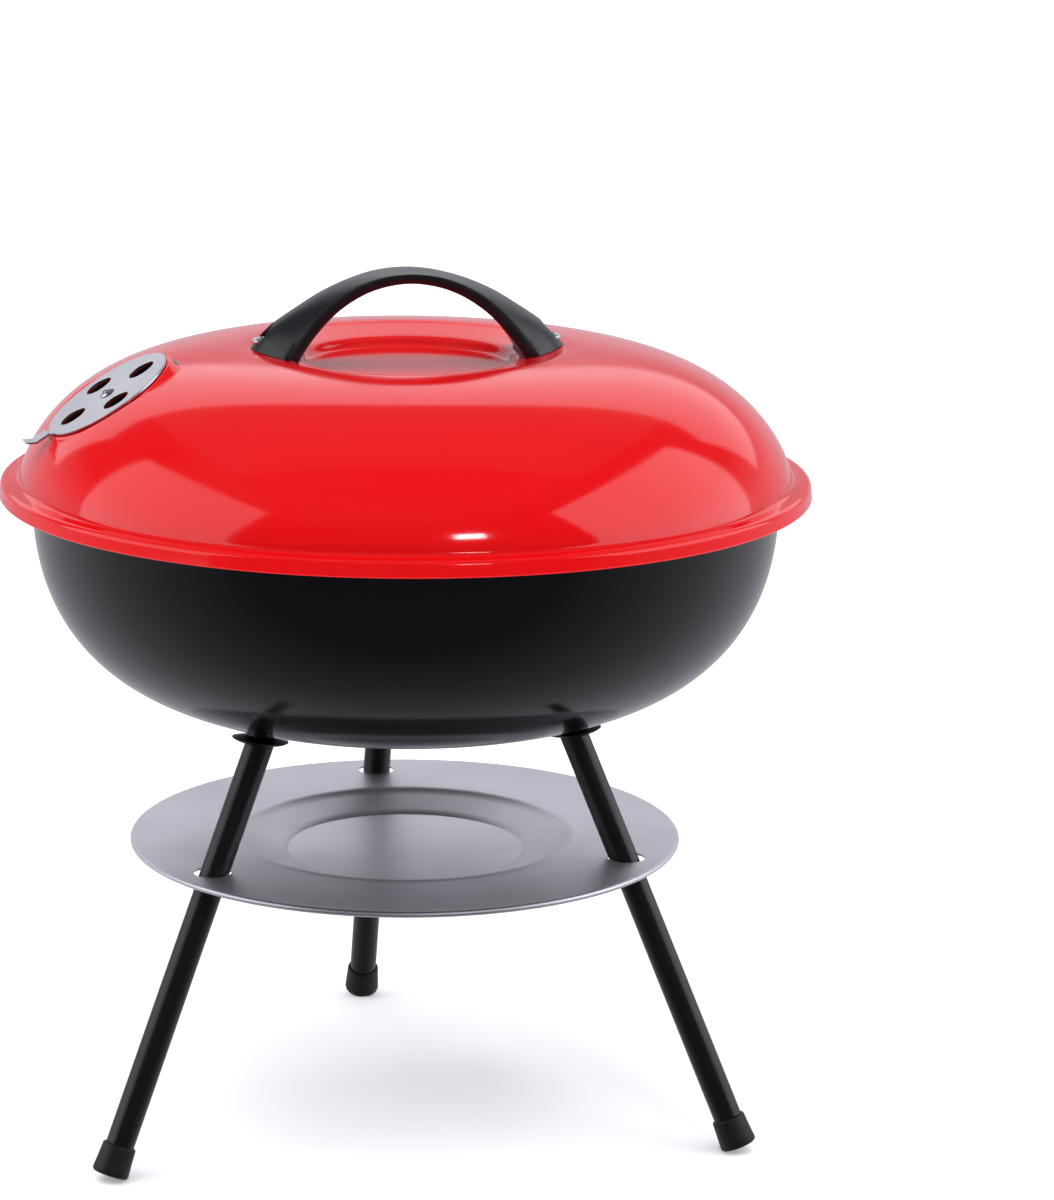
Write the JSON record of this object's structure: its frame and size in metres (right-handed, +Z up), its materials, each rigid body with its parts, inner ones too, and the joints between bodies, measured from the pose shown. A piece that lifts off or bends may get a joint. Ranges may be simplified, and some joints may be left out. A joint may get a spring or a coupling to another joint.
{
  "type": "kettle charcoal grill",
  "caption": "Small round charcoal grill with a domed red lid, black bowl on splayed tube legs, ash tray below, wire grates and turning air dampers.",
  "frame": {"origin": "on the floor, under the centre of the bowl", "axes": "+Z up, +X to the right of the front view, -Y towards the viewer in front"},
  "size_m": [0.3624, 0.3624, 0.3894],
  "materials": {
    "lid_enamel": "high-gloss red porcelain enamel",
    "bowl_enamel": "gloss black porcelain enamel",
    "tray_steel": "satin bare metal with a bright rolled hem",
    "handle_plastic": "satin black moulded heat-resistant plastic",
    "damper_steel": "satin stamped steel",
    "cooking_wire": "bright plated wire",
    "coal_wire": "plain steel wire",
    "fastener_steel": "zinc-plated steel",
    "collar_paint": "satin black paint",
    "leg_paint": "satin black powder coat",
    "plug_plastic": "plain black plastic",
    "foot_plastic": "matt black plastic"
  },
  "bodies": {
    "base": {"bowl_shell": "bowl_enamel", "bowl_damper_rivet": "fastener_steel", "ash_tray": "tray_steel", "left_upper_bracket": "bowl_enamel", "left_lower_bracket": "bowl_enamel", "left_leg_collar": "collar_paint", "left_leg_tube": "leg_paint", "left_leg_plug": "plug_plastic", "left_leg_bolt": "fastener_steel", "left_leg_washer": "fastener_steel", "left_foot_cap": "foot_plastic", "right_upper_bracket": "bowl_enamel", "right_lower_bracket": "bowl_enamel", "right_leg_collar": "collar_paint", "right_leg_tube": "leg_paint", "right_leg_plug": "plug_plastic", "right_leg_bolt": "fastener_steel", "right_leg_washer": "fastener_steel", "right_foot_cap": "foot_plastic", "rear_upper_bracket": "bowl_enamel", "rear_lower_bracket": "bowl_enamel", "rear_leg_collar": "collar_paint", "rear_leg_tube": "leg_paint", "rear_leg_plug": "plug_plastic", "rear_leg_bolt": "fastener_steel", "rear_leg_washer": "fastener_steel", "rear_foot_cap": "foot_plastic"},
    "lid": {"lid_shell": "lid_enamel", "lid_handle": "handle_plastic", "left_handle_screw": "fastener_steel", "right_handle_screw": "fastener_steel", "left_handle_nut": "fastener_steel", "right_handle_nut": "fastener_steel", "lid_damper_rivet": "fastener_steel"},
    "lid_damper_disc": {"lid_damper": "damper_steel"},
    "bowl_damper_disc": {"bowl_damper": "damper_steel"},
    "cooking_grate": {"cooking_grate": "cooking_wire"},
    "charcoal_grate": {"charcoal_grate": "coal_wire"}
  },
  "joints": [
    {"name": "lid_lift", "type": "slide", "parent": "base", "child": "lid", "axis": [0, 0, 1], "range_m": [0, 0.25]},
    {"name": "lid_damper_turn", "type": "hinge", "parent": "lid", "child": "lid_damper_disc", "pos_m": [-0.13045, -0.03618, 0.33923], "axis": [-0.5178, -0.1436, 0.8434], "range_deg": [0, 45]},
    {"name": "bowl_damper_turn", "type": "hinge", "parent": "base", "child": "bowl_damper_disc", "pos_m": [0, 0, 0.1881], "axis": [0, 0, 1], "range_deg": [0, 60]},
    {"name": "cooking_grate_lift", "type": "slide", "parent": "base", "child": "cooking_grate", "axis": [0, 0, 1], "range_m": [0, 0.008]},
    {"name": "charcoal_grate_lift", "type": "slide", "parent": "base", "child": "charcoal_grate", "axis": [0, 0, 1], "range_m": [0, 0.04]}
  ]
}
